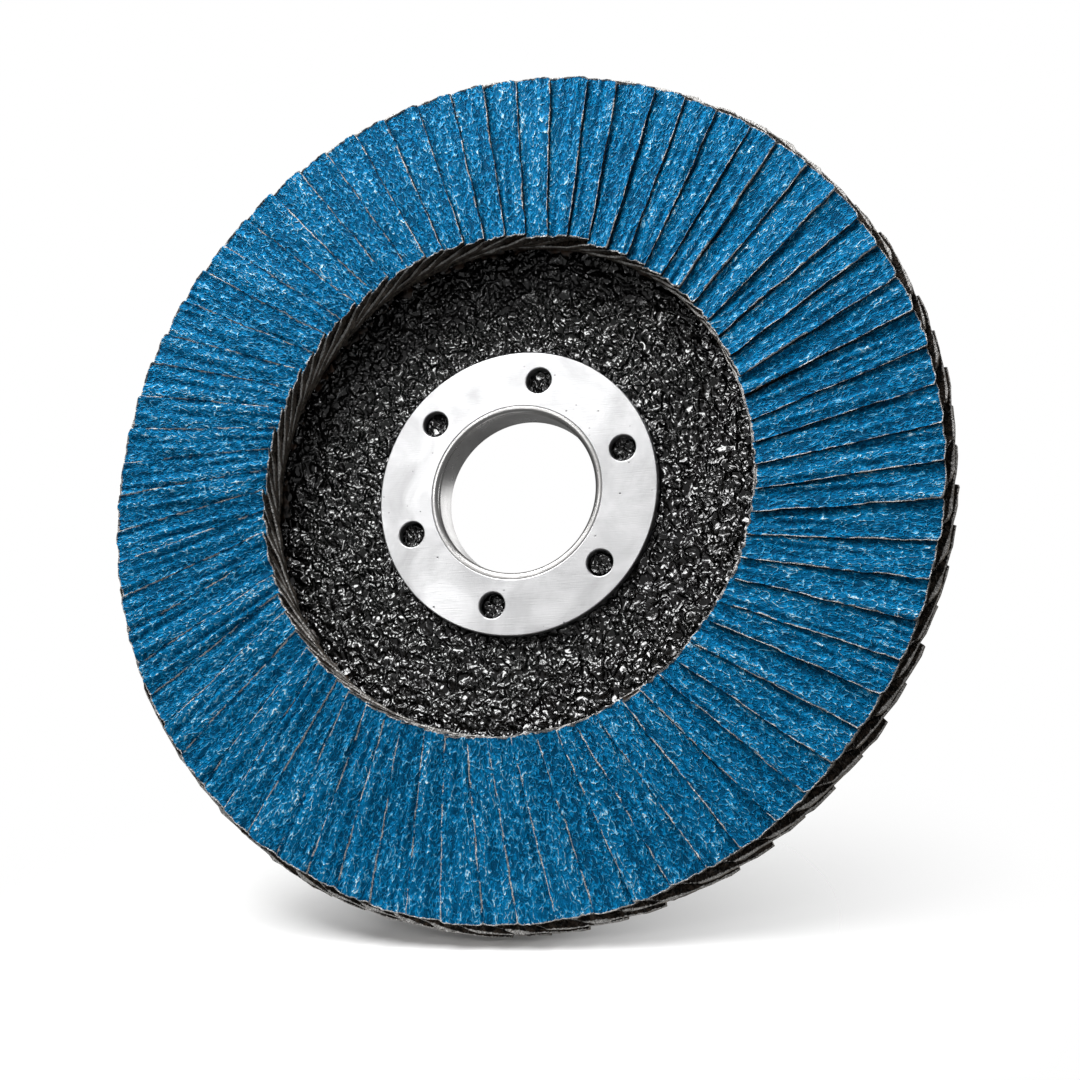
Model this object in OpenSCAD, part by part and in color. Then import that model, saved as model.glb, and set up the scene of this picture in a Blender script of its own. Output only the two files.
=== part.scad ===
// Flap disc for an angle grinder: abrasive cloth flaps fanned on a glass-fibre backing
// with a pressed metal arbor. The disc stands on its rim: its axle runs along Y, the
// abrasive face looks along -Y, and the origin is the centre of the bore at the rear
// clamping face.

/* [Disc] */
// Diameter over the free edges of the flaps
disc_d = 115; // [112:0.5:120]
// Height of the abrasive face above the front washer, at the rim
face_rise = 7.0; // [6.5:0.1:9]
// Angle by which the abrasive face climbs from the rim towards the hub
face_cone = 1.5; // [0:0.5:4]

/* [Flaps] */
// Number of flaps, an even number, because each node holds two of them
flap_count = 72; // [64:2:76]
// Thickness of the abrasive cloth, grain included
flap_t = 0.95; // [0.7:0.05:1.0]
// Height that each flap gains over the one it lies on
flap_rise = 1.1; // [1.1:0.05:1.2]
// Width of a flap, from its free edge to its glued edge
flap_w = 18; // [16:0.5:20]
// Radius of the inner end of a free edge
flap_in_r = 34.2; // [32:0.1:36]
// Distance from a free edge to the radius that it is parallel to
edge_offset = 6.5; // [4:0.5:8]
// Direction of the first flap, from +X towards +Z
first_flap = 4.3; // [0:0.1:5]

/* [Backing] */
// Diameter of the glass-fibre backing plate
backing_d = 109; // [104:0.5:110]
// Thickness of one glass-fibre ply
ply_t = 0.9; // [0.6:0.1:1.1]
// Thickness of the adhesive bed under the flaps
glue_t = 0.45; // [0.3:0.05:0.6]
// Thickness of the paper ring on the back
label_t = 0.12; // [0.1:0.02:0.2]

/* [Arbor] */
// Bore for the grinder's flange
bore_d = 22.23; // [22:0.01:22.4]
// Wall of the collar that lines the bore
collar_wall = 0.6; // [0.5:0.05:0.8]
// Diameter of the washer and of the rear flange
washer_d = 39.5; // [38:0.5:42]
// Thickness of the front washer
washer_t = 1.3; // [1:0.1:1.6]
// Thickness of the rear flange
flange_t = 1.2; // [1:0.1:1.6]
// Number of holes in the front washer
hole_count = 6; // [4:1:8]
// Diameter of those holes
hole_d = 3.6; // [3:0.1:4]
// Diameter of the circle that they lie on
hole_pcd = 31.6; // [31:0.1:32.5]
// Direction of the first hole, from +X towards +Z
first_hole = 18; // [0:1:60]

/* [Hidden] */
$fn = 96;
FLAPS_PER_NODE = 2;
PAIRS = flap_count / FLAPS_PER_NODE;
function pair_name(n) = str("flap_pair_", n < 10 ? "0" : "", n);

// Arbor
bore_r = bore_d / 2;
collar_r = bore_r + collar_wall;
washer_r = washer_d / 2;
washer_gap = 0.25;
washer_bore_r = collar_r + washer_gap;
countersink = 0.45;
lip_drop = 0.1;
lip_round = 0.05;
edge_break = 0.15;
hole_sides = 48;
hole_cut = 1;
PLIES = 3;
plate_t = PLIES * ply_t;
hub_z = flange_t + plate_t;
washer_z = hub_z + washer_t;

// Flaps
pitch = 360 / flap_count;
disc_r = disc_d / 2;
flap_start = sqrt(pow(flap_in_r, 2) - pow(edge_offset, 2));
flap_end = sqrt(pow(disc_r, 2) - pow(edge_offset, 2));
rim_z = washer_z + face_rise;
CELLS = 4;

// Glued edges, and the cone through them that the backing follows
glued_u = flap_w - edge_offset;
glued_in_r = norm([glued_u, flap_start]);
glued_out_r = norm([glued_u, flap_end]);
glued_in_z = flap_z(glued_u, flap_start) - flap_t;
glued_out_z = flap_z(glued_u, flap_end) - flap_t;
bed_slope = (glued_out_z - glued_in_z) / (glued_out_r - glued_in_r);
bed_gap = 0.1;
function bed_z(r) = glued_in_z - bed_gap + bed_slope * (r - glued_in_r);
function plate_z(r) = max(hub_z, bed_z(r) - glue_t);

// Backing
backing_r = backing_d / 2;
cone_r = glued_in_r - (bed_z(glued_in_r) - glue_t - hub_z) / bed_slope;
glue_spread = 1;
glue_margin = 0.5;
glue_in_r = glued_in_r - glue_spread;
glue_out_r = backing_r - glue_margin;
label_gap = 0.6;
label_in_r = washer_r + label_gap;
label_out_r = glue_in_r;

// The disc is drawn lying with its abrasive face up, and stood on its rim here
module stand() rotate([90, 0, 0]) children();

// Ring that follows the backing's front face, from low to high above that face
module dished_ring(in_r, out_r, low, high) {
    bend = in_r < cone_r && cone_r < out_r ? [cone_r] : [];
    outward = concat([in_r], bend, [out_r]);
    inward = concat([out_r], bend, [in_r]);
    rotate_extrude() polygon(concat(
        [for (r = outward) [r, plate_z(r) + low]],
        [for (r = inward) [r, plate_z(r) + high]]
    ));
}

// Glass-fibre plies in phenolic resin, counted from the front
module ply(index) {
    stand() dished_ring(collar_r, backing_r, -(index + 1) * ply_t, -index * ply_t);
}

module front_ply() color([0.05, 0.05, 0.05]) ply(0);

module core_ply() color([0.16, 0.14, 0.12]) ply(1);

module rear_ply() color([0.08, 0.08, 0.08]) ply(2);

// Blank paper ring round the rear flange
module rear_label() color([0.85, 0.85, 0.82]) stand()
    dished_ring(label_in_r, label_out_r, -plate_t - label_t, -plate_t);

// Resin bead that the glued edges sit on
module adhesive_bed() color([0.12, 0.08, 0.05]) stand() rotate_extrude()
    polygon([
        [glue_in_r, plate_z(glue_in_r)],
        [glue_out_r, plate_z(glue_out_r)],
        [glue_out_r, bed_z(glue_out_r)],
        [glued_in_r, bed_z(glued_in_r)]
    ]);

// Front washer, countersunk for the collar's lip
module front_washer() color([0.82, 0.82, 0.83]) stand() difference() {
    rotate_extrude() polygon([
        [washer_bore_r, hub_z],
        [washer_r, hub_z],
        [washer_r, washer_z - edge_break],
        [washer_r - edge_break, washer_z],
        [washer_bore_r + countersink, washer_z],
        [washer_bore_r, washer_z - countersink]
    ]);
    for (i = [0:hole_count - 1])
        rotate([0, 0, first_hole + i * 360 / hole_count])
            translate([hole_pcd / 2, 0, hub_z - hole_cut])
                cylinder(d = hole_d, h = washer_t + 2 * hole_cut, $fn = hole_sides);
}

// Rear flange with the collar that lines the bore, rolled out over the washer
module arbor_bushing() color([0.75, 0.75, 0.76]) stand() rotate_extrude()
    polygon([
        [bore_r, 0],
        [washer_r - edge_break, 0],
        [washer_r, edge_break],
        [washer_r, flange_t],
        [collar_r, flange_t],
        [collar_r, washer_z - countersink],
        [collar_r + countersink, washer_z - lip_drop],
        [collar_r + lip_drop, washer_z - lip_round],
        [bore_r, washer_z - countersink]
    ]);

// A flap's plan frame has v along a radius and u anticlockwise. Its free edge is at
// u = -edge_offset. Its surface drops by flap_rise for each pitch behind that edge, so
// that every flap lies on the next one over its whole width.
function face_z(r) = rim_z + (disc_r - r) * tan(face_cone);
function behind(u, v) = atan2(u, v) + asin(edge_offset / norm([u, v]));
function flap_z(u, v) = face_z(norm([u, v])) - flap_rise * behind(u, v) / pitch;

module flap() {
    side = CELLS + 1;
    layer = side * side;
    us = [for (i = [0:CELLS]) -edge_offset + flap_w * i / CELLS];
    vs = [for (j = [0:CELLS]) flap_start + (flap_end - flap_start) * j / CELLS];
    sheet = [for (u = us) for (v = vs) [v, u, flap_z(u, v)]];
    points = concat(sheet, [for (p = sheet) p - [0, 0, flap_t]]);
    cells = [for (i = [0:CELLS - 1]) for (j = [0:CELLS - 1]) i * side + j];
    top = [for (c = cells) each [[c, c + side, c + side + 1], [c, c + side + 1, c + 1]]];
    bottom = [for (t = top) [t[2] + layer, t[1] + layer, t[0] + layer]];
    rim = concat(
        [for (j = [0:CELLS - 1]) j],
        [for (i = [0:CELLS - 1]) i * side + CELLS],
        [for (j = [CELLS:-1:1]) CELLS * side + j],
        [for (i = [CELLS:-1:1]) i * side]
    );
    walls = [for (k = [0:len(rim) - 1])
        let (a = rim[k], b = rim[(k + 1) % len(rim)]) [a, b, b + layer, a + layer]];
    polyhedron(points, concat(top, bottom, walls));
}

// Two neighbouring flaps, numbered anticlockwise from the first one
module flap_pair(n) color([0.08, 0.38, 0.66]) stand()
    for (k = [0:FLAPS_PER_NODE - 1])
        rotate([0, 0, first_flap + ((n - 1) * FLAPS_PER_NODE + k) * pitch]) flap();

front_ply();
core_ply();
rear_ply();
rear_label();
adhesive_bed();
front_washer();
arbor_bushing();
for (n = [1:PAIRS]) flap_pair(n);
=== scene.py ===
import math

import bpy
import numpy as np
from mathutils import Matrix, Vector


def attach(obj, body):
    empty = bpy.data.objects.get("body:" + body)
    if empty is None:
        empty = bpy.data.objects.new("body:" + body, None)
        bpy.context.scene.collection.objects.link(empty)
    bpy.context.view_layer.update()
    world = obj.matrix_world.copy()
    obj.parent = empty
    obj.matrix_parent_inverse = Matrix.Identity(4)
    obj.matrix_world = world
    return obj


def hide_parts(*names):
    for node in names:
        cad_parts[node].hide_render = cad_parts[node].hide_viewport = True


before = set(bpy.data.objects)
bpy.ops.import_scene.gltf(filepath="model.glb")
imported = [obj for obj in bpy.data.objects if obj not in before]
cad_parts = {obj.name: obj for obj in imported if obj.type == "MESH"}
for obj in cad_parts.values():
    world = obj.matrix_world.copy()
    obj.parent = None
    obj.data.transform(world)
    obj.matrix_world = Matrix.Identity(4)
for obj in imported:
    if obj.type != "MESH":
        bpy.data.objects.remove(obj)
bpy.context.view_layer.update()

# Lengths are in millimetres in the disc's own drawing frame, in which the abrasive face
# looks along +Z. place() turns them into metres in the row frame.
MM = 0.001
SEED = 20

# The disc, as in the CAD model
DISC_R = 57.5
FLAP_COUNT = 72
FLAPS_PER_NODE = 2
PITCH = 360 / FLAP_COUNT
FIRST_FLAP = 4.3
FLAP_T = 0.95
FLAP_RISE = 1.1
FACE_CONE = 1.5
EDGE_OFFSET = 6.5
GLUED_U = 11.5
RIM_Z = 12.2
FLAP_IN_R = 34.2
FLAP_START = math.sqrt(FLAP_IN_R ** 2 - EDGE_OFFSET ** 2)
FLAP_END = math.sqrt(DISC_R ** 2 - EDGE_OFFSET ** 2)
HUB_Z = 3.9
WASHER_Z = 5.2
WASHER_R = 19.75
WASHER_BORE_R = 11.965
BORE_R = 11.115
COLLAR_R = 11.715
FLANGE_T = 1.2
HOLE_COUNT = 6
HOLE_R = 1.8
HOLE_CIRCLE_R = 15.8
FIRST_HOLE = 18
CONE_R = 25.2
BED_SLOPE = 0.0866
GLUED_IN_R = 35.49


# Noise

TILE = 61
FAR = 99.0
BEND = 0.6
RIDGE_STEEPNESS = 1.9
POINT_SCATTER = 0.45


def tile(seed):
    return np.random.default_rng(SEED + seed).uniform(-1, 1, (TILE, TILE))


def value_noise(x, y, seed):
    """Smooth noise from -1 to 1 with one cell a unit wide."""
    table = tile(seed)
    column, row = np.floor(x).astype(int), np.floor(y).astype(int)
    across, along = x - column, y - row
    across = across * across * (3 - 2 * across)
    along = along * along * (3 - 2 * along)
    corners = [
        table[(column + i) % TILE, (row + j) % TILE] for i in (0, 1) for j in (0, 1)
    ]
    low = corners[0] + (corners[1] - corners[0]) * along
    high = corners[2] + (corners[3] - corners[2]) * along
    return low + (high - low) * across


def ripple(along, length, lane, seed):
    """Noise along a line, in waves of the given length. Each lane has its own."""
    return value_noise(along / length, lane + 0 * along, seed)


def ridges(x, y, seed):
    """Thin winding crests, 1 on the crests and less away from them."""
    bend_x = value_noise(x * BEND, y * BEND, seed + 1)
    bend_y = value_noise(x * BEND, y * BEND, seed + 2)
    return 1 - np.abs(value_noise(x + bend_x, y + bend_y, seed)) * RIDGE_STEEPNESS


def cells(x, y, seed):
    """Distance to the nearest of the points scattered one to a unit cell."""
    shift_x, shift_y = tile(seed), tile(seed + 1)
    column, row = np.floor(x).astype(int), np.floor(y).astype(int)
    nearest = np.full(np.shape(x), FAR)
    for i in (-1, 0, 1):
        for j in (-1, 0, 1):
            a, b = column + i, row + j
            spot_x = a + 0.5 + POINT_SCATTER * shift_x[a % TILE, b % TILE]
            spot_y = b + 0.5 + POINT_SCATTER * shift_y[a % TILE, b % TILE]
            nearest = np.minimum(nearest, np.hypot(x - spot_x, y - spot_y))
    return nearest


def smooth(value, low, high):
    """0 below low, 1 above high, smooth between."""
    t = np.clip((value - low) / (high - low), 0, 1)
    return t * t * (3 - 2 * t)


# Meshes

def place(x, y, z):
    """Drawing frame to row frame, in metres."""
    return np.stack([x, -z, y], axis=-1) * MM


def link(name, mesh):
    piece = bpy.data.objects.new(name, mesh)
    bpy.context.scene.collection.objects.link(piece)
    return piece


def shade_smooth(mesh, angle=None):
    mesh.polygons.foreach_set("use_smooth", np.ones(len(mesh.polygons), bool))
    if angle is not None:
        mesh.set_sharp_from_angle(angle=math.radians(angle))
    mesh.update()


def store(mesh, name, values, kind="FLOAT"):
    """Keeps a value at each vertex, for the materials to read."""
    layer = mesh.attributes.new(name, kind, "POINT")
    field = "value" if kind == "FLOAT" else "vector"
    layer.data.foreach_set(field, np.asarray(values, np.float32).ravel())


def grid_faces(rows, columns, closed):
    """Quads over a rows by columns grid, whose columns go round if it's closed."""
    across = columns if closed else columns - 1
    return [
        (
            i * columns + j,
            (i + 1) * columns + j,
            (i + 1) * columns + (j + 1) % columns,
            i * columns + (j + 1) % columns,
        )
        for i in range(rows - 1)
        for j in range(across)
    ]


def lathe(name, profile, segments, angle):
    """A closed profile of (radius, height), turned round the axle."""
    turn = np.arange(segments) * 2 * math.pi / segments
    radius, height = (np.array(column)[:, None] for column in zip(*profile, profile[0]))
    count = len(profile)
    points = place(
        radius * np.cos(turn), radius * np.sin(turn), height + 0 * turn
    ).reshape(-1, 3)[: count * segments]
    faces = [
        tuple(corner % (count * segments) for corner in face)
        for face in grid_faces(count + 1, segments, True)
    ]
    mesh = bpy.data.meshes.new(name)
    mesh.from_pydata(points, [], faces)
    shade_smooth(mesh, angle)
    return link(name, mesh)


def ring_skin(name, radii, segments, height):
    """An open skin over a ring. height is a function of x, y and the radius."""
    turn = np.arange(segments) * 2 * math.pi / segments
    radius = np.array(radii)[:, None]
    x, y = radius * np.cos(turn), radius * np.sin(turn)
    z = height(x, y, radius + 0 * x)
    mesh = bpy.data.meshes.new(name)
    mesh.from_pydata(
        place(x, y, z).reshape(-1, 3), [], grid_faces(len(radii), segments, True)
    )
    shade_smooth(mesh)
    return link(name, mesh), x.ravel(), y.ravel()


def finish_piece(piece, material, body, slot, *nodes):
    piece.data.materials.clear()
    piece.data.materials.append(material)
    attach(piece, body)
    if nodes:
        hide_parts(*nodes)
    return piece


# Material nodes

def add(tree, kind, inputs=None, **settings):
    node = tree.nodes.new("ShaderNode" + kind)
    for name, value in settings.items():
        setattr(node, name, value)
    for name, value in (inputs or {}).items():
        feed(tree, node.inputs[name], value)
    return node


def feed(tree, socket, value):
    if isinstance(value, bpy.types.NodeSocket):
        tree.links.new(value, socket)
    else:
        socket.default_value = value


def blank(name, roughness, ior=1.5, metallic=0.0):
    """A new material, its node tree and its Principled shader."""
    material = bpy.data.materials.new(name)
    material.use_nodes = True
    shader = material.node_tree.nodes["Principled BSDF"]
    shader.inputs["Roughness"].default_value = roughness
    shader.inputs["IOR"].default_value = ior
    shader.inputs["Metallic"].default_value = metallic
    return material, material.node_tree, shader


def ramp(tree, factor, stops):
    node = add(tree, "ValToRGB", {"Fac": factor})
    band = node.color_ramp
    while len(band.elements) < len(stops):
        band.elements.new(0.5)
    for element, (position, colour) in zip(band.elements, stops):
        element.position = position
        element.color = (*colour, 1)
    return node.outputs["Color"]


def mixed(tree, factor, first, second):
    node = add(tree, "Mix", data_type="RGBA")
    feed(tree, node.inputs[0], factor)
    for socket, value in ((node.inputs[6], first), (node.inputs[7], second)):
        feed(tree, socket, value if isinstance(value, bpy.types.NodeSocket) else (*value, 1))
    return node.outputs[2]


def reckon(tree, operation, first, second=0.0, third=0.0, clamp=False):
    node = add(tree, "Math", operation=operation, use_clamp=clamp)
    for socket, value in zip(node.inputs, (first, second, third)):
        feed(tree, socket, value)
    return node.outputs[0]


def span(tree, value, low, high, to_low=0.0, to_high=1.0):
    inputs = {
        "Value": value, "From Min": low, "From Max": high, "To Min": to_low, "To Max": to_high,
    }
    return add(tree, "MapRange", inputs).outputs["Result"]


def attribute(tree, name, output="Fac"):
    return add(tree, "Attribute", attribute_name=name).outputs[output]


def object_place(tree, scale=(1, 1, 1)):
    """Position on the piece, in millimetres over scale."""
    spot = add(tree, "TexCoord").outputs["Object"]
    factors = tuple(1 / MM / s for s in scale)
    return add(tree, "Mapping", {"Vector": spot, "Scale": factors}).outputs[0]


def bump(tree, shader, height, depth):
    node = add(tree, "Bump", {"Height": height, "Distance": depth * MM, "Strength": 1.0})
    tree.links.new(node.outputs["Normal"], shader.inputs["Normal"])


def weighted(tree, offset, *parts):
    """The offset plus each value times its weight."""
    total = offset
    for value, weight in parts:
        total = reckon(tree, "MULTIPLY_ADD", value, weight, total)
    return total


def noise(tree, vector, scale, detail=3.0, roughness=0.55, distortion=0.0):
    inputs = {
        "Vector": vector, "Scale": scale, "Detail": detail, "Roughness": roughness,
        "Distortion": distortion,
    }
    return add(tree, "TexNoise", inputs).outputs["Fac"]


def crest(tree, value, sharpness):
    """Winding lines, 1 where the noise passes its middle and 0 away from it."""
    off = reckon(tree, "ABSOLUTE", reckon(tree, "SUBTRACT", value, 0.5))
    return reckon(tree, "MULTIPLY_ADD", off, -2 * sharpness, 1.0, clamp=True)


# Materials

DASH_SCALE = (1.1, 0.50, 1)
INNER_END_V = 45
# How strongly painted shade darkens the flaps' inner ends and, at the rim, the cut faces by the
# top layer.
INNER_SHADE_SHARE = 0.7
RIM_SHADE_SHARE = 0.62
THREAD = 1.6


def grain_pattern(tree, plan):
    """Short dashes of grain that wind along the flap, brightest where two of them cross."""
    stretched = add(tree, "Mapping", {"Vector": plan, "Scale": DASH_SCALE}).outputs[0]
    worms = crest(tree, noise(tree, stretched, 1.4, 0.5, 0.5, 0.7), 5.0)
    grit = crest(tree, noise(tree, stretched, 2.2, 0.5, 0.5, 0.6), 5.2)
    crossed = reckon(tree, "MULTIPLY", grit, 0.50)
    return reckon(tree, "MULTIPLY_ADD", worms, 0.66, crossed, clamp=True)


def cut_cloth(tree, plan, depth, mottle, painted_shade):
    """Layers through a cut edge, mottled with loose threads. Inner ends are darkened with
    painted shade, which stands for the shade on the inner wall.
    """
    weave = add(tree, "TexWave", {
        "Vector": plan, "Scale": 1.1, "Distortion": 1.5, "Detail": 2.0,
    }, bands_direction="Y").outputs["Fac"]
    threads = ramp(tree, weave, [(0.2, (0.130, 0.116, 0.100)), (0.9, (0.50, 0.44, 0.37))])
    layers = ramp(tree, depth, [
        (0.00, (0.004, 0.040, 0.085)),
        (0.20, (0.010, 0.024, 0.034)),
        (0.34, (0.700, 0.650, 0.580)),
        (0.48, (0.110, 0.098, 0.086)),
        (0.74, (0.330, 0.295, 0.250)),
        (0.88, (0.020, 0.019, 0.018)),
    ])
    along = add(tree, "SeparateXYZ", {0: plan}).outputs["Y"]
    # Inner ends blend towards painted shade.
    inner = span(tree, along, INNER_END_V + 1, INNER_END_V - 1, 0.0, INNER_SHADE_SHARE)
    return mixed(tree, inner, mixed(tree, mottle, layers, threads), painted_shade)


def abrasive_cloth():
    """Blue coat of grain on a tan cloth. At each vertex a flap keeps its grain height, how
    bare its cloth is, how deep it lies in the cloth and how far behind the free edge."""
    material, tree, shader = blank("abrasive_cloth", roughness=0.5)
    plan = attribute(tree, "plan", "Vector")
    grain = attribute(tree, "grain")
    bare = attribute(tree, "bare")
    depth = attribute(tree, "depth")
    back = attribute(tree, "back")
    fine = grain_pattern(tree, plan)
    tiny = noise(tree, plan, 7.0, 2.0)
    shine = noise(tree, plan, 1.5, 1.0)
    lifted = weighted(tree, -0.08, (grain, 0.20), (fine, 0.64), (shine, 0.06), (tiny, 0.16))
    # The coat's colour follows the grain height. Painted shade darkens the pits. The crests
    # turn whitish, partly from worn grain tips and partly as a painted highlight.
    coat = ramp(tree, lifted, [
        (0.06, (0.000, 0.050, 0.120)),
        (0.24, (0.000, 0.130, 0.310)),
        (0.54, (0.002, 0.210, 0.450)),
        (0.72, (0.120, 0.420, 0.640)),
        (0.86, (0.660, 0.810, 0.890)),
    ])
    mottle = span(tree, noise(tree, plan, 1.4, 3.0), 0.42, 0.70)
    # Painted shade: a mottled near-black that stands for the shade in the rim's recess, under
    # each flap's edge and on the inner wall.
    painted_shade = mixed(tree, mottle, (0.007, 0.006, 0.005), (0.058, 0.044, 0.034))
    cut_layers_inner_shaded = cut_cloth(tree, plan, depth, mottle, painted_shade)
    # By the top layer the cut faces take painted shade, which is the dark band under each
    # flap's edge. Deeper layers keep the cloth's own layers.
    rim_shaded_layers = mixed(tree, RIM_SHADE_SHARE, cut_layers_inner_shaded, painted_shade)
    cut_faces_shade_and_layers = mixed(tree, span(tree, back, 1.25, 1.6), rim_shaded_layers, cut_layers_inner_shaded)
    # Past the next flap's free edge, where that flap covers this one, the coat gives way to
    # painted shade.
    top = mixed(tree, span(tree, back, 1.06, 1.16), coat, painted_shade)
    cut = mixed(tree, span(tree, depth, 0.03, 0.15), top, cut_faces_shade_and_layers)
    frayed = mixed(tree, span(tree, tiny, 0.3, 0.7), (0.14, 0.13, 0.12), (0.80, 0.785, 0.765))
    ragged = weighted(tree, -0.25, (bare, 1.0), (fine, 0.5))
    colour = mixed(tree, span(tree, ragged, 0.36, 0.56), cut, frayed)
    feed(tree, shader.inputs["Base Color"], colour)
    feed(tree, shader.inputs["Roughness"], span(tree, lifted, 0.3, 0.8, 0.60, 0.26))
    feed(tree, shader.inputs["Specular IOR Level"], span(tree, lifted, 0.45, 0.8, 0.04, 0.42))
    bump(tree, shader, weighted(tree, 0.0, (fine, 1.0), (tiny, 0.2)), 0.34)
    return material


def black_resin():
    """Phenolic resin over coarse grain, glossy on its crests."""
    material, tree, shader = blank("black_resin", roughness=0.3, ior=1.55)
    spot = object_place(tree)
    grain = attribute(tree, "grain")
    winding = crest(tree, noise(tree, spot, 0.6, 0.5, 0.5, 0.9), 3.2)
    lumps = noise(tree, spot, 0.85, 0.6, 0.4)
    fine = weighted(tree, 0.0, (winding, 0.5), (lumps, 0.5))
    relief = weighted(tree, 0.0, (grain, 0.5), (fine, 0.5))
    # The crests are painted a lighter grey, which is a painted highlight added to their gloss.
    colour = ramp(tree, relief, [
        (0.40, (0.001, 0.001, 0.001)),
        (0.66, (0.003, 0.003, 0.003)),
        (0.90, (0.040, 0.039, 0.038)),
    ])
    feed(tree, shader.inputs["Base Color"], colour)
    feed(tree, shader.inputs["Roughness"], span(tree, fine, 0.3, 0.7, 0.18, 0.06))
    shader.inputs["Specular IOR Level"].default_value = 1.0
    bump(tree, shader, fine, 1.0)
    return material


def glass_laminate(name, dark, light):
    """Glass mesh in resin: threads run along X and along Z, over and under."""
    material, tree, shader = blank(name, roughness=0.5)
    spot = object_place(tree, (THREAD, THREAD, THREAD))
    inputs = {"Vector": spot, "Scale": 0.5, "Distortion": 0.5, "Detail": 1.0}
    along = add(tree, "TexWave", inputs, bands_direction="X").outputs["Fac"]
    across = add(tree, "TexWave", inputs, bands_direction="Z").outputs["Fac"]
    threads = reckon(tree, "MAXIMUM", along, across)
    mottle = noise(tree, object_place(tree), 0.35, 4.0)
    shown = reckon(tree, "MULTIPLY", threads, span(tree, mottle, 0.3, 0.7, 0.35, 1.0))
    feed(tree, shader.inputs["Base Color"], mixed(tree, shown, dark, light))
    feed(tree, shader.inputs["Roughness"], span(tree, mottle, 0.3, 0.7, 0.6, 0.35))
    bump(tree, shader, threads, 0.18)
    return material


def adhesive_resin():
    material, tree, shader = blank("adhesive_resin", roughness=0.35)
    mottle = noise(tree, object_place(tree), 0.9, 4.0)
    colour = ramp(tree, mottle, [(0.40, (0.006, 0.005, 0.004)), (0.8, (0.07, 0.034, 0.016))])
    feed(tree, shader.inputs["Base Color"], colour)
    bump(tree, shader, noise(tree, object_place(tree), 1.8), 0.2)
    return material


def satin_metal(name, light, dark, roughness):
    """Rolled sheet metal with handling smudges, pits and fine scratches."""
    material, tree, shader = blank(name, roughness=roughness, metallic=1.0)
    spot = object_place(tree)
    smudge = noise(tree, spot, 0.13, 4.0, 0.6, 0.8)
    speck = add(tree, "TexVoronoi", {"Vector": spot, "Scale": 0.9}).outputs["Distance"]
    keep = span(tree, noise(tree, spot, 0.5, 1.0), 0.55, 0.66)
    pit = reckon(tree, "MULTIPLY", span(tree, speck, 0.16, 0.07), keep, clamp=True)
    scratched = add(tree, "Mapping", {
        "Vector": spot, "Rotation": (0, 0.6, 0), "Scale": (0.25, 1, 9),
    }).outputs[0]
    scratch = noise(tree, scratched, 1.0, 2.0)
    sheet = mixed(tree, span(tree, smudge, 0.36, 0.66), light, dark)
    feed(tree, shader.inputs["Base Color"], mixed(tree, pit, sheet, (0.10, 0.10, 0.10)))
    spread = (roughness - 0.07, roughness + 0.10)
    feed(tree, shader.inputs["Roughness"], span(tree, smudge, 0.3, 0.7, *spread))
    bump(tree, shader, weighted(tree, 0.0, (scratch, 1.0), (pit, -2.0)), 0.012)
    return material


def blank_paper():
    material, tree, shader = blank("blank_paper", roughness=0.75, ior=1.45)
    spot = object_place(tree)
    fibre = noise(tree, spot, 2.5, 5.0, 0.7)
    stain = noise(tree, spot, 0.08, 3.0)
    clean = mixed(tree, fibre, (0.62, 0.61, 0.58), (0.80, 0.79, 0.76))
    colour = mixed(tree, span(tree, stain, 0.5, 0.8), clean, (0.55, 0.50, 0.43))
    feed(tree, shader.inputs["Base Color"], colour)
    bump(tree, shader, fibre, 0.03)
    return material


# Flaps

# The grid of a flap: two narrow columns along its free edge, fine cells over the strip
# that shows, and coarse ones under the next flap
BEVEL = 0.10
BARE_W = 0.25
FINE_COLUMNS = 20
HIDDEN_COLUMNS = 10
FINE_ROWS = 90
OVERLAP = 0.6
COARSE_ROWS = 8
COARSE_COLUMNS = 3
UNDER_COLUMNS = 6
LAYERS = (0.16, 0.34, 0.54, 0.77, 1.0)

# The strip that shows: how far it lies below the face at its free edge and at the next
# flap's edge, and how thick its free edge is
EDGE_DROP = 0.10
SEAM_DROP = 0.58
EDGE_T = 0.42

# Arcs that the ends follow: just under the top layer, deeper, and at the hub
RECESSED_R = 56.9
BURIED_R = 58.7
INNER_R = 33.95
INNER_PULL = 0.6
END_SPREAD = 0.25
CORNER_ROUND = 0.50

# How unevenly the free edge and the ends are cut, and the cloth lifts
EDGE_LEAN = 0.11
EDGE_SWING = 0.010
SWING_CENTRE = 45
EDGE_LIMIT = 0.5
EDGE_WAVE = 0.10
EDGE_NICKS = 0.05
SIDE_NICKS = 0.07
START_SPREAD = 0.10
STOP_SPREAD = 0.07
START_WAVE = 0.12
STOP_WAVE = 0.08
END_WAVE_L = 0.8
START_FRAY = 0.10
STOP_FRAY = 0.08
FRAY_L = 0.35
LIFT_SPREAD = 0.10

# Each flap has its own noise, and its own stretch of cloth
FIRST_FLAP_SEED = 40
SEEDS_PER_FLAP = 8
PLAN_STEP = 31

# Relief of the grain
GRAIN_H = 0.50
GRAIN_MIDDLE = 0.60
GRAIN_TOP = 0.15
SEAM_ROOM = 0.13
RIM_W = 0.02
RIM_DROP = 0.05


def face_z(radius):
    return RIM_Z + (DISC_R - radius) * math.tan(math.radians(FACE_CONE))


def behind(u, v):
    """How far a point lies behind its flap's free edge, in pitches."""
    return np.degrees(np.arctan2(u, v) + np.arcsin(EDGE_OFFSET / np.hypot(u, v))) / PITCH


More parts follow.
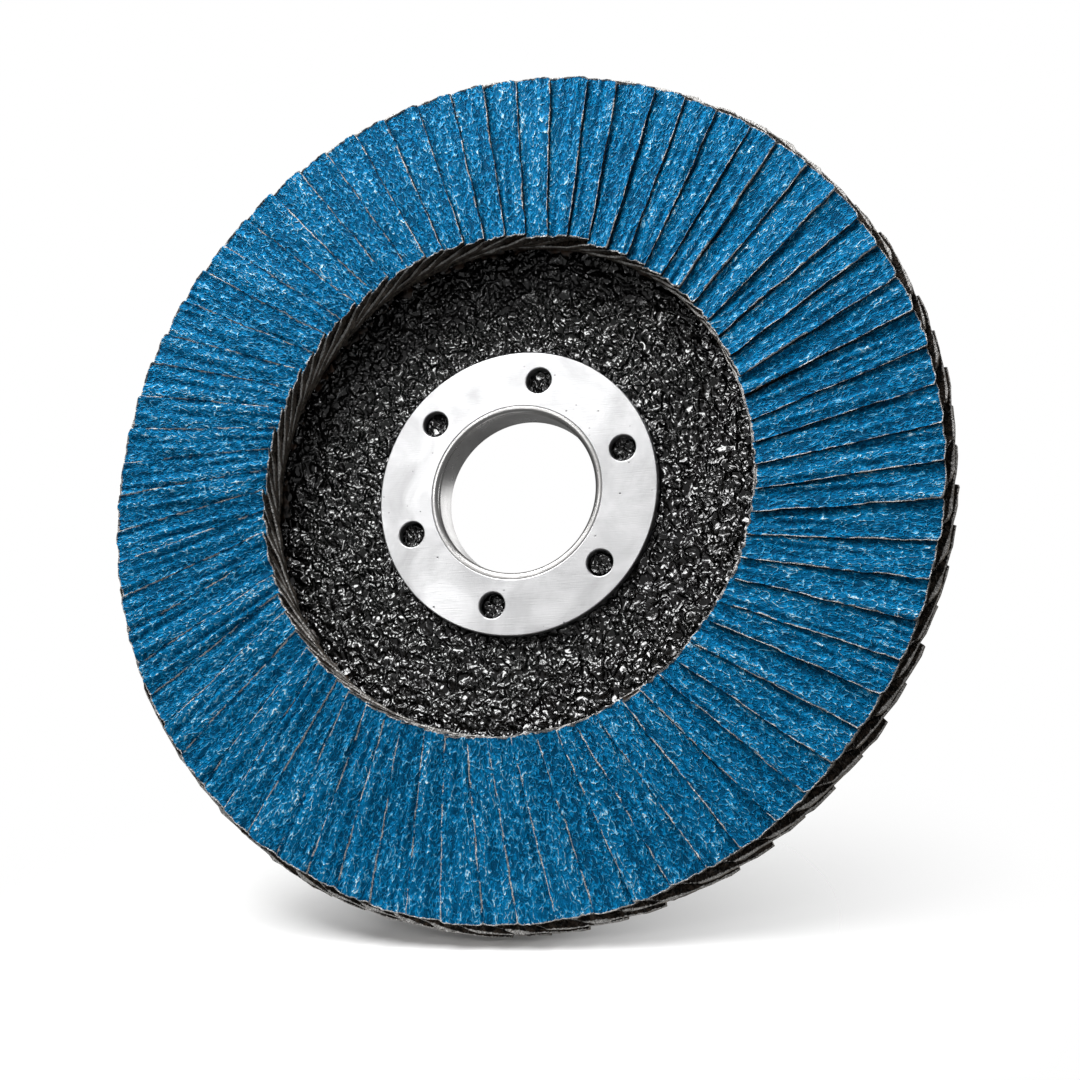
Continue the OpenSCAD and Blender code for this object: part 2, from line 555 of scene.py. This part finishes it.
def flap_faces(u, v):
    """Heights of a flap's top and underside. Under the others it lies as in the CAD model.
    The strip that shows is flatter and thins towards its free edge, as pressed cloth does."""
    back = behind(u, v)
    strip = EDGE_DROP + (SEAM_DROP - EDGE_DROP) * back
    bend = SEAM_DROP + (2 * FLAP_RISE - SEAM_DROP) * (back - 1)
    top = np.where(back < 1, strip, np.where(back < 2, bend, FLAP_RISE * back))
    edge_under = EDGE_DROP + EDGE_T
    taper = edge_under + (FLAP_RISE + FLAP_T - edge_under) * back
    under = np.where(back < 1, taper, FLAP_RISE * back + FLAP_T)
    level = face_z(np.hypot(u, v))
    return level - top, level - under


def strip_width(v):
    """Width of flap that shows before the next flap covers it."""
    turn = math.radians(PITCH)
    along = (v - EDGE_OFFSET * math.sin(turn)) / math.cos(turn)
    return along * math.sin(turn) - EDGE_OFFSET * math.cos(turn) + EDGE_OFFSET


class FlapGrid:
    """The vertices and faces that all flaps share. A vertex is a column, a row and a
    depth below the top. Only the strip that shows has fine cells."""

    def __init__(self):
        columns = [(0, 0, 0), (BEVEL, 0, 0)]
        columns += [(BARE_W, k / FINE_COLUMNS, 0) for k in range(FINE_COLUMNS + 1)]
        self.last_fine = len(columns) - 1
        columns += [(BARE_W, 1, k / HIDDEN_COLUMNS) for k in range(1, HIDDEN_COLUMNS + 1)]
        rows = [(0, 0), (BEVEL, 0)]
        rows += [(BARE_W, k / FINE_ROWS) for k in range(FINE_ROWS + 1)]
        rows += [(2 * BARE_W - BEVEL, 1), (2 * BARE_W, 1)]
        self.columns, self.rows = np.array(columns, float), np.array(rows, float)
        self.end_i, self.end_j = len(columns) - 1, len(rows) - 1
        self.index, self.corner, self.faces = {}, [], []
        self.build()
        self.corner = np.array(self.corner, float)

    def vertex(self, i, j, layer):
        key = (i, j, layer)
        if key not in self.index:
            self.index[key] = len(self.corner)
            depth = 0 if layer == 0 else LAYERS[layer - 1]
            self.corner.append((i, j, layer, depth))
        return self.index[key]

    def outline(self, i0, i1, j0, j1):
        """The grid points round a block of cells, along the rows first."""
        walk = [(i0, j) for j in range(j0, j1)]
        walk += [(i, j1) for i in range(i0, i1)]
        walk += [(i1, j) for j in range(j1, j0, -1)]
        return walk + [(i, j0) for i in range(i1, i0, -1)]

    def block(self, i0, i1, j0, j1, used, layer, reverse):
        walk = [self.vertex(*p, layer) for p in self.outline(i0, i1, j0, j1) if p in used]
        self.faces.append(tuple(walk[::-1]) if reverse else tuple(walk))

    def build(self):
        end_i, end_j, fine = self.end_i, self.end_j, self.last_fine
        ends = {0, 1, 2, end_j - 2, end_j - 1, end_j}
        coarse_j = sorted({*range(COARSE_ROWS, end_j - 2, COARSE_ROWS), *ends})
        coarse_i = [fine, *range(fine + 2, end_i, COARSE_COLUMNS), end_i]
        sides = {(0, j) for j in range(end_j + 1)}
        sides |= {(i, j) for i in range(end_i + 1) for j in (0, end_j)}
        sides |= {(end_i, j) for j in coarse_j}
        inner = {(fine, j) for j in range(end_j + 1)}
        inner |= {(i, j) for i in coarse_i for j in coarse_j}
        for i in range(fine):
            for j in range(end_j):
                self.faces.append(tuple(
                    self.vertex(*p, 0) for p in ((i, j), (i, j + 1), (i + 1, j + 1), (i + 1, j))
                ))
        for i0, i1 in zip(coarse_i, coarse_i[1:]):
            for j0, j1 in zip(coarse_j, coarse_j[1:]):
                self.block(i0, i1, j0, j1, sides | inner, 0, False)
        under_i = [*range(0, fine, UNDER_COLUMNS), *coarse_i]
        under = sides | {(i, j) for i in under_i for j in coarse_j}
        for i0, i1 in zip(under_i, under_i[1:]):
            for j0, j1 in zip(coarse_j, coarse_j[1:]):
                self.block(i0, i1, j0, j1, under, len(LAYERS), True)
        loop = [p for p in self.outline(0, end_i, 0, end_j) if p in sides]
        for a, b in zip(loop, loop[1:] + loop[:1]):
            for layer in range(len(LAYERS)):
                self.faces.append((
                    self.vertex(*a, layer + 1), self.vertex(*b, layer + 1),
                    self.vertex(*b, layer), self.vertex(*a, layer),
                ))

    def template(self):
        mesh = bpy.data.meshes.new("flap")
        mesh.from_pydata([(0, 0, 0)] * len(self.corner), [], self.faces)
        return mesh


def grain_height(u, v, seed):
    """Grain from 0 to 1: creases that run along the flap, broken up by finer clumps."""
    clumps = ridges(u / 0.80, v / 1.15, seed)
    worms = ridges(u / 0.45, v / 0.62, seed + 3)
    creases = value_noise(u / 0.62, v / 8, seed + 6)
    return np.clip(0.12 * clumps + 0.20 * worms + 0.62 * creases + 0.30, 0, 1)


def free_edge(v, number, chance):
    """Where the free edge runs, cut a little off its line and slightly wavy."""
    lean = chance.normal(0, EDGE_LEAN)
    swing = chance.normal(0, EDGE_SWING)
    edge = lean + swing * (v - SWING_CENTRE) + EDGE_WAVE * ripple(v, 3.5, lane=number, seed=31)
    edge += EDGE_NICKS * ripple(v, 0.7, lane=number * 2, seed=32)
    return np.clip(edge, -EDGE_LIMIT, EDGE_LIMIT) - EDGE_OFFSET


def cut_ends(u, depth, back, number, chance):
    """Where a flap's ends are cut. Both ends fray, and they follow arcs where the flap
    lies under others."""
    start = FLAP_START + chance.normal(0, START_SPREAD)
    start = start + START_WAVE * ripple(u, END_WAVE_L, lane=number, seed=33)
    end = FLAP_END + chance.normal(0, STOP_SPREAD)
    end = end + STOP_WAVE * ripple(u, END_WAVE_L, lane=number, seed=34)
    start += START_FRAY * ripple(u, FRAY_L, lane=depth * 3 + number, seed=35)
    end += STOP_FRAY * ripple(u, FRAY_L, lane=depth * 3 + number, seed=36)
    stand_out = 0.8 * smooth(back, 1.35, 1.75) + 0.2 * smooth(back, 2.2, 3.3)
    ply_r = RECESSED_R + (BURIED_R - RECESSED_R) * stand_out - END_SPREAD * chance.random()
    end_arc = np.sqrt(ply_r ** 2 - u ** 2) - FLAP_END
    start_arc = np.sqrt(INNER_R ** 2 - u ** 2) - FLAP_START
    end += end_arc * smooth(back, 0.98, 1.2)
    start += INNER_PULL * start_arc * (1 - smooth(back, 1.2, 2.0))
    return start, end


def bareness(edge_gap, start_gap, end_gap, v, number):
    """How bare the cloth is, from 0 to 1: along the free edge in places, and at both ends."""
    along_edge = 1 - smooth(edge_gap, 0.03, 0.20)
    along_edge *= 0.35 + 0.65 * smooth(ripple(v, 1.3, lane=number, seed=37), -0.5, 0.2)
    bare = np.maximum(along_edge, 1 - smooth(start_gap, 0.08, 0.26))
    return np.maximum(bare, 0.90 * (1 - smooth(end_gap, 0.04, 0.20)))


def shape_flap(mesh, grid, number, chance):
    i, j, layer, depth = grid.corner.T
    i, j = i.astype(int), j.astype(int)
    seed = FIRST_FLAP_SEED + SEEDS_PER_FLAP * number
    hold, share, hidden = grid.columns[i].T
    row_hold, row_share = grid.rows[j].T
    covered = hidden > 0
    top = layer == 0

    # Plan
    rough_v = FLAP_START + row_share * (FLAP_END - FLAP_START)
    strip = strip_width(rough_v) + OVERLAP - BARE_W
    edge = free_edge(rough_v, number, chance)
    rest = GLUED_U - (edge + BARE_W + strip)
    u = edge + hold + share * strip + hidden * rest
    back = behind(u, rough_v)
    start, end = cut_ends(u, depth, back, number, chance)
    end -= CORNER_ROUND * np.exp(-hold / 0.6 - share * 7) * ~covered
    v = start + row_hold + row_share * (end - start - 2 * BARE_W)
    side = (i == 0) & ~top
    u = u + side * SIDE_NICKS * ripple(v, 0.5, lane=depth * 4, seed=seed + 5)

    # Bare cloth, which reaches the first layer under the coat
    bare = bareness(u - edge, v - start, end - v, v, number)
    second = (0.25 + 0.5 * (back > 2)) * bare
    bare = np.where(top, bare, np.where(layer == 1, second, 0))

    # Relief, which leaves room for the next flap at the seam and stops short of the rim
    grain = grain_height(u, v, seed)
    rim = np.minimum(np.minimum(u - edge, v - start), end - v)
    relief = (grain - GRAIN_MIDDLE) * GRAIN_H * ~covered
    relief = np.minimum(relief, GRAIN_TOP - SEAM_ROOM * smooth(share, 0.6, 0.9))
    relief = np.where(rim > RIM_W, relief, -RIM_DROP)
    face, under = flap_faces(u, v)
    free = np.clip(1 - share - hidden, 0, 1) * (i <= grid.last_fine)
    lift = abs(chance.normal(0, LIFT_SPREAD)) * free * free
    z = face + (under - face) * depth + top * relief + lift

    turn = math.radians(FIRST_FLAP + PITCH * number)
    x = v * math.cos(turn) - u * math.sin(turn)
    y = v * math.sin(turn) + u * math.cos(turn)
    mesh.vertices.foreach_set("co", place(x, y, z).ravel())
    store(mesh, "grain", grain)
    store(mesh, "bare", bare)
    store(mesh, "depth", depth)
    store(mesh, "back", behind(u, v))
    store(mesh, "plan", np.stack([u + PLAN_STEP * number, v, depth], axis=-1), "FLOAT_VECTOR")


def make_flaps(material):
    grid = FlapGrid()
    template = grid.template()
    chance = np.random.default_rng(SEED)
    for number in range(FLAP_COUNT):
        mesh = template.copy()
        shape_flap(mesh, grid, number, chance)
        shade_smooth(mesh, 55)
        mesh.name = f"flap_{number + 1:02d}"
        pair = number // FLAPS_PER_NODE + 1
        finish_piece(
            link(mesh.name, mesh), material, f"flaps_{pair:02d}", "abrasive_cloth",
            f"flap_pair_{pair:02d}",
        )
    bpy.data.meshes.remove(template)


# Hub

RESIN_STEP = 0.22
RESIN_SEGMENTS = 840
RESIN_GRAIN_H = 0.80
RESIN_SKIN = 0.02
LUMP = 1.35
LUMP_STEEPNESS = 1.35
CHIP = 0.75
CHIP_STEEPNESS = 1.3
WASHER_EDGE = 0.16
WASHER_SEGMENTS = 240
BORE_SEGMENTS = 200
HOLE_SEGMENTS = 56
BEAD_SIZE = 0.42
BEAD_SWELL = 0.30
BEAD_INSET = 0.85
BEAD_W = 1.3
BEAD_H = 1.2
BEAD_SINK = 0.05
BEAD_SEGMENTS = 900
BEAD_STEPS = 9


def plate_z(radius):
    return HUB_Z + np.maximum(0, radius - CONE_R) * BED_SLOPE


def resin_height(x, y, radius):
    """Grain that stands on the front ply, and nothing under the washer but in its holes."""
    grain = resin_grain(x, y)
    turn = np.radians(FIRST_HOLE + np.arange(HOLE_COUNT) * 360 / HOLE_COUNT)
    reach = np.full(np.shape(x), FAR)
    for angle in turn:
        hole_x, hole_y = HOLE_CIRCLE_R * np.cos(angle), HOLE_CIRCLE_R * np.sin(angle)
        reach = np.minimum(reach, np.hypot(x - hole_x, y - hole_y))
    shown = np.maximum(smooth(radius, WASHER_R, WASHER_R + 0.3), 1 - smooth(reach, 1.3, 1.75))
    return plate_z(radius) + RESIN_SKIN * shown + RESIN_GRAIN_H * grain * shown


def resin_grain(x, y):
    bend = 0.45 * value_noise(x / 0.9, y / 0.9, 3)
    lumps = 1 - cells((x + bend) / LUMP, (y - bend) / LUMP, 5) * LUMP_STEEPNESS
    chips = 1 - cells(x / CHIP, y / CHIP, 8) * CHIP_STEEPNESS
    return np.clip(0.78 * lumps + 0.20 * chips + 0.14 * value_noise(x / 2.5, y / 2.5, 11), 0, 1)


def make_resin(material):
    radii = np.arange(COLLAR_R + 0.3, GLUED_IN_R + 0.4, RESIN_STEP)
    skin, x, y = ring_skin("resin_grain", radii, RESIN_SEGMENTS, resin_height)
    store(skin.data, "grain", resin_grain(x, y))
    finish_piece(skin, material, "disc", "resin_front")


def make_washer(material):
    """Flat sheet with rounded edges, cut by its bore and six holes."""
    curve = bpy.data.curves.new("washer", "CURVE")
    curve.dimensions, curve.fill_mode = "2D", "BOTH"
    thickness = WASHER_Z - HUB_Z
    curve.bevel_depth, curve.bevel_resolution = WASHER_EDGE, 3
    curve.extrude, curve.offset = thickness / 2 - WASHER_EDGE, -WASHER_EDGE
    circles = [(0, 0, WASHER_R, WASHER_SEGMENTS), (0, 0, WASHER_BORE_R + 0.1, BORE_SEGMENTS)]
    for k in range(HOLE_COUNT):
        angle = math.radians(FIRST_HOLE + k * 360 / HOLE_COUNT)
        centre = (HOLE_CIRCLE_R * math.cos(angle), HOLE_CIRCLE_R * math.sin(angle))
        circles.append((*centre, HOLE_R, HOLE_SEGMENTS))
    for centre_x, centre_y, radius, count in circles:
        spline = curve.splines.new("POLY")
        spline.points.add(count - 1)
        turn = np.arange(count) * 2 * math.pi / count
        spline.points.foreach_set("co", np.stack([
            centre_x + radius * np.cos(turn), centre_y + radius * np.sin(turn), 0 * turn,
            0 * turn + 1,
        ], axis=-1).ravel())
        spline.use_cyclic_u = True
    drawn = link("washer_curve", curve)
    graph = bpy.context.evaluated_depsgraph_get()
    mesh = bpy.data.meshes.new_from_object(drawn.evaluated_get(graph))
    bpy.data.objects.remove(drawn)
    points = np.empty(len(mesh.vertices) * 3)
    mesh.vertices.foreach_get("co", points)
    x, y, z = points.reshape(-1, 3).T
    mesh.vertices.foreach_set("co", place(x, y, z + HUB_Z + thickness / 2).ravel())
    mesh.name = "washer"
    shade_smooth(mesh, 35)
    finish_piece(link("washer", mesh), material, "disc", "washer_metal", "front_washer")


def make_bushing(material):
    """Rear flange, collar and the lip rolled out over the washer, with soft corners."""
    profile = [
        (BORE_R + 0.25, 0), (WASHER_R - 0.3, 0), (WASHER_R - 0.09, 0.09), (WASHER_R, 0.3),
        (WASHER_R, FLANGE_T - 0.25), (WASHER_R - 0.07, FLANGE_T - 0.07),
        (WASHER_R - 0.25, FLANGE_T), (COLLAR_R + 0.2, FLANGE_T),
        (COLLAR_R + 0.05, FLANGE_T + 0.05), (COLLAR_R, FLANGE_T + 0.2),
        (COLLAR_R, WASHER_Z - 0.46), (COLLAR_R + 0.16, WASHER_Z - 0.30),
        (COLLAR_R + 0.42, WASHER_Z - 0.13), (COLLAR_R + 0.36, WASHER_Z - 0.04),
        (COLLAR_R + 0.16, WASHER_Z - 0.01), (BORE_R + 0.42, WASHER_Z - 0.06),
        (BORE_R + 0.18, WASHER_Z - 0.22), (BORE_R + 0.04, WASHER_Z - 0.42),
        (BORE_R, WASHER_Z - 0.75), (BORE_R, 0.35), (BORE_R + 0.08, 0.10),
    ]
    bushing = lathe("bushing", profile, BORE_SEGMENTS, angle=40)
    finish_piece(bushing, material, "disc", "arbor_metal", "arbor_bushing")


def make_bead(material):
    """Adhesive squeezed out along the inner ends of the flaps."""
    turn = np.arange(BEAD_SEGMENTS) * 2 * math.pi / BEAD_SEGMENTS
    walk = np.linspace(0, math.pi, BEAD_STEPS)[:, None]
    reach = turn * GLUED_IN_R
    size = BEAD_SIZE + BEAD_SWELL * ripple(reach, 2.3, lane=0, seed=61)
    size = size * (0.8 + 0.3 * ripple(reach, 0.6, lane=walk * 2, seed=62))
    radius = GLUED_IN_R - BEAD_INSET - BEAD_W * size * np.cos(walk)
    z = plate_z(radius) - BEAD_SINK + BEAD_H * size * np.sin(walk)
    points = place(radius * np.cos(turn), radius * np.sin(turn), z).reshape(-1, 3)
    mesh = bpy.data.meshes.new("adhesive_bead")
    mesh.from_pydata(points, [], grid_faces(BEAD_STEPS, BEAD_SEGMENTS, True))
    shade_smooth(mesh)
    finish_piece(link("adhesive_bead", mesh), material, "disc", "adhesive")


def dress(material, node):
    """Gives a CAD piece that shows as it is a material."""
    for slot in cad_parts[node].material_slots:
        slot.material = material


# Stage

# The disc leans back on the floor. It keeps its own frame, and the floor is tilted to it.
# The floor fades with the distance from the contact, in metres.
LEAN = math.radians(23.6)
UP = Vector((0, -math.sin(LEAN), math.cos(LEAN)))
CONTACT = Vector((-8, -7.3, -58.3))
FLOOR_DROP = -51.0
FLOOR_HALF = 330
FLOOR_STEPS = 34
FADE_START = 0.010
FADE_END = 0.080
VIEW_FROM = Vector((69.25, -211.86, -56.4)) * MM
VIEW_AT = Vector((3.48, -5.2, -6.95)) * MM
LENS = 55.4
SENSOR = 36
SKY_LIGHT = 0.22
SKY_SEEN = 1.0


def make_floor():
    """A pale floor that fades into the white round it."""
    mesh = bpy.data.meshes.new("floor")
    side = np.linspace(-FLOOR_HALF, FLOOR_HALF, FLOOR_STEPS)
    x, y = np.meshgrid(side, side, indexing="ij")
    mesh.from_pydata(
        np.stack([x, y, 0 * x], axis=-1).reshape(-1, 3) * MM, [],
        grid_faces(FLOOR_STEPS, FLOOR_STEPS, False),
    )
    mesh.flip_normals()
    floor = link("floor", mesh)
    floor.rotation_mode = "QUATERNION"
    floor.rotation_quaternion = UP.to_track_quat("Z", "Y")
    floor.location = (CONTACT + UP * (FLOOR_DROP - CONTACT.dot(UP))) * MM
    material, tree, shader = blank("pale_floor", roughness=0.9)
    spot = add(tree, "TexCoord").outputs["Object"]
    away = add(tree, "VectorMath", {0: spot}, operation="LENGTH").outputs["Value"]
    speckle = noise(tree, spot, 300.0, 2.0)
    tint = mixed(tree, speckle, (0.90, 0.90, 0.90), (0.93, 0.93, 0.93))
    feed(tree, shader.inputs["Base Color"], tint)
    kept = span(tree, away, FADE_START, FADE_END, 1.0, 0.0)
    feed(tree, shader.inputs["Alpha"], reckon(tree, "POWER", kept, 1.6))
    mesh.materials.append(material)


def make_light(name, spot, size, power):
    """A square lamp that shines on the bore's centre."""
    lamp = bpy.data.lights.new(name, "AREA")
    lamp.size, lamp.energy = size, power
    holder = link(name, lamp)
    holder.location = Vector(spot)
    holder.rotation_mode = "QUATERNION"
    holder.rotation_quaternion = Vector(spot).to_track_quat("Z", "Y")


def make_world():
    world = bpy.data.worlds.new("studio")
    world.use_nodes = True
    tree = world.node_tree
    back = tree.nodes["Background"]
    back.inputs["Color"].default_value = (1, 1, 1, 1)
    seen = add(tree, "LightPath").outputs["Is Camera Ray"]
    feed(tree, back.inputs["Strength"], span(tree, seen, 0, 1, SKY_LIGHT, SKY_SEEN))
    bpy.context.scene.world = world


def make_camera():
    lens = bpy.data.cameras.new("camera")
    lens.lens, lens.sensor_width = LENS, SENSOR
    lens.clip_start, lens.clip_end = 0.005, 10
    camera = link("camera", lens)
    camera.location = VIEW_FROM
    camera.rotation_mode = "QUATERNION"
    camera.rotation_quaternion = (VIEW_FROM - VIEW_AT).to_track_quat("Z", "Y")
    bpy.context.scene.camera = camera


make_camera()
make_world()
make_floor()
make_light("key", (-0.10, -0.15, 0.26), size=0.26, power=2.40)
make_light("front", (-0.19, -0.46, 0.12), size=0.15, power=0.36)
make_light("side", (0.44, -0.04, 0.10), size=0.22, power=0.6)
make_light("back", (0.10, 0.45, 0.25), size=0.40, power=0.9)
bpy.context.scene.view_settings.view_transform = "Standard"

make_flaps(abrasive_cloth())
make_resin(black_resin())
make_washer(satin_metal("washer_aluminium", (0.465, 0.465, 0.47), (0.375, 0.375, 0.38), 0.40))
make_bushing(satin_metal("bushing_steel", (0.40, 0.395, 0.39), (0.26, 0.255, 0.25), 0.30))
glue = adhesive_resin()
make_bead(glue)
dress(glue, "adhesive_bed")
dress(glass_laminate("front_laminate", (0.010, 0.010, 0.010), (0.05, 0.05, 0.048)), "front_ply")
dress(glass_laminate("core_laminate", (0.035, 0.028, 0.020), (0.16, 0.14, 0.11)), "core_ply")
dress(glass_laminate("rear_laminate", (0.012, 0.012, 0.012), (0.075, 0.073, 0.068)), "rear_ply")
dress(blank_paper(), "rear_label")
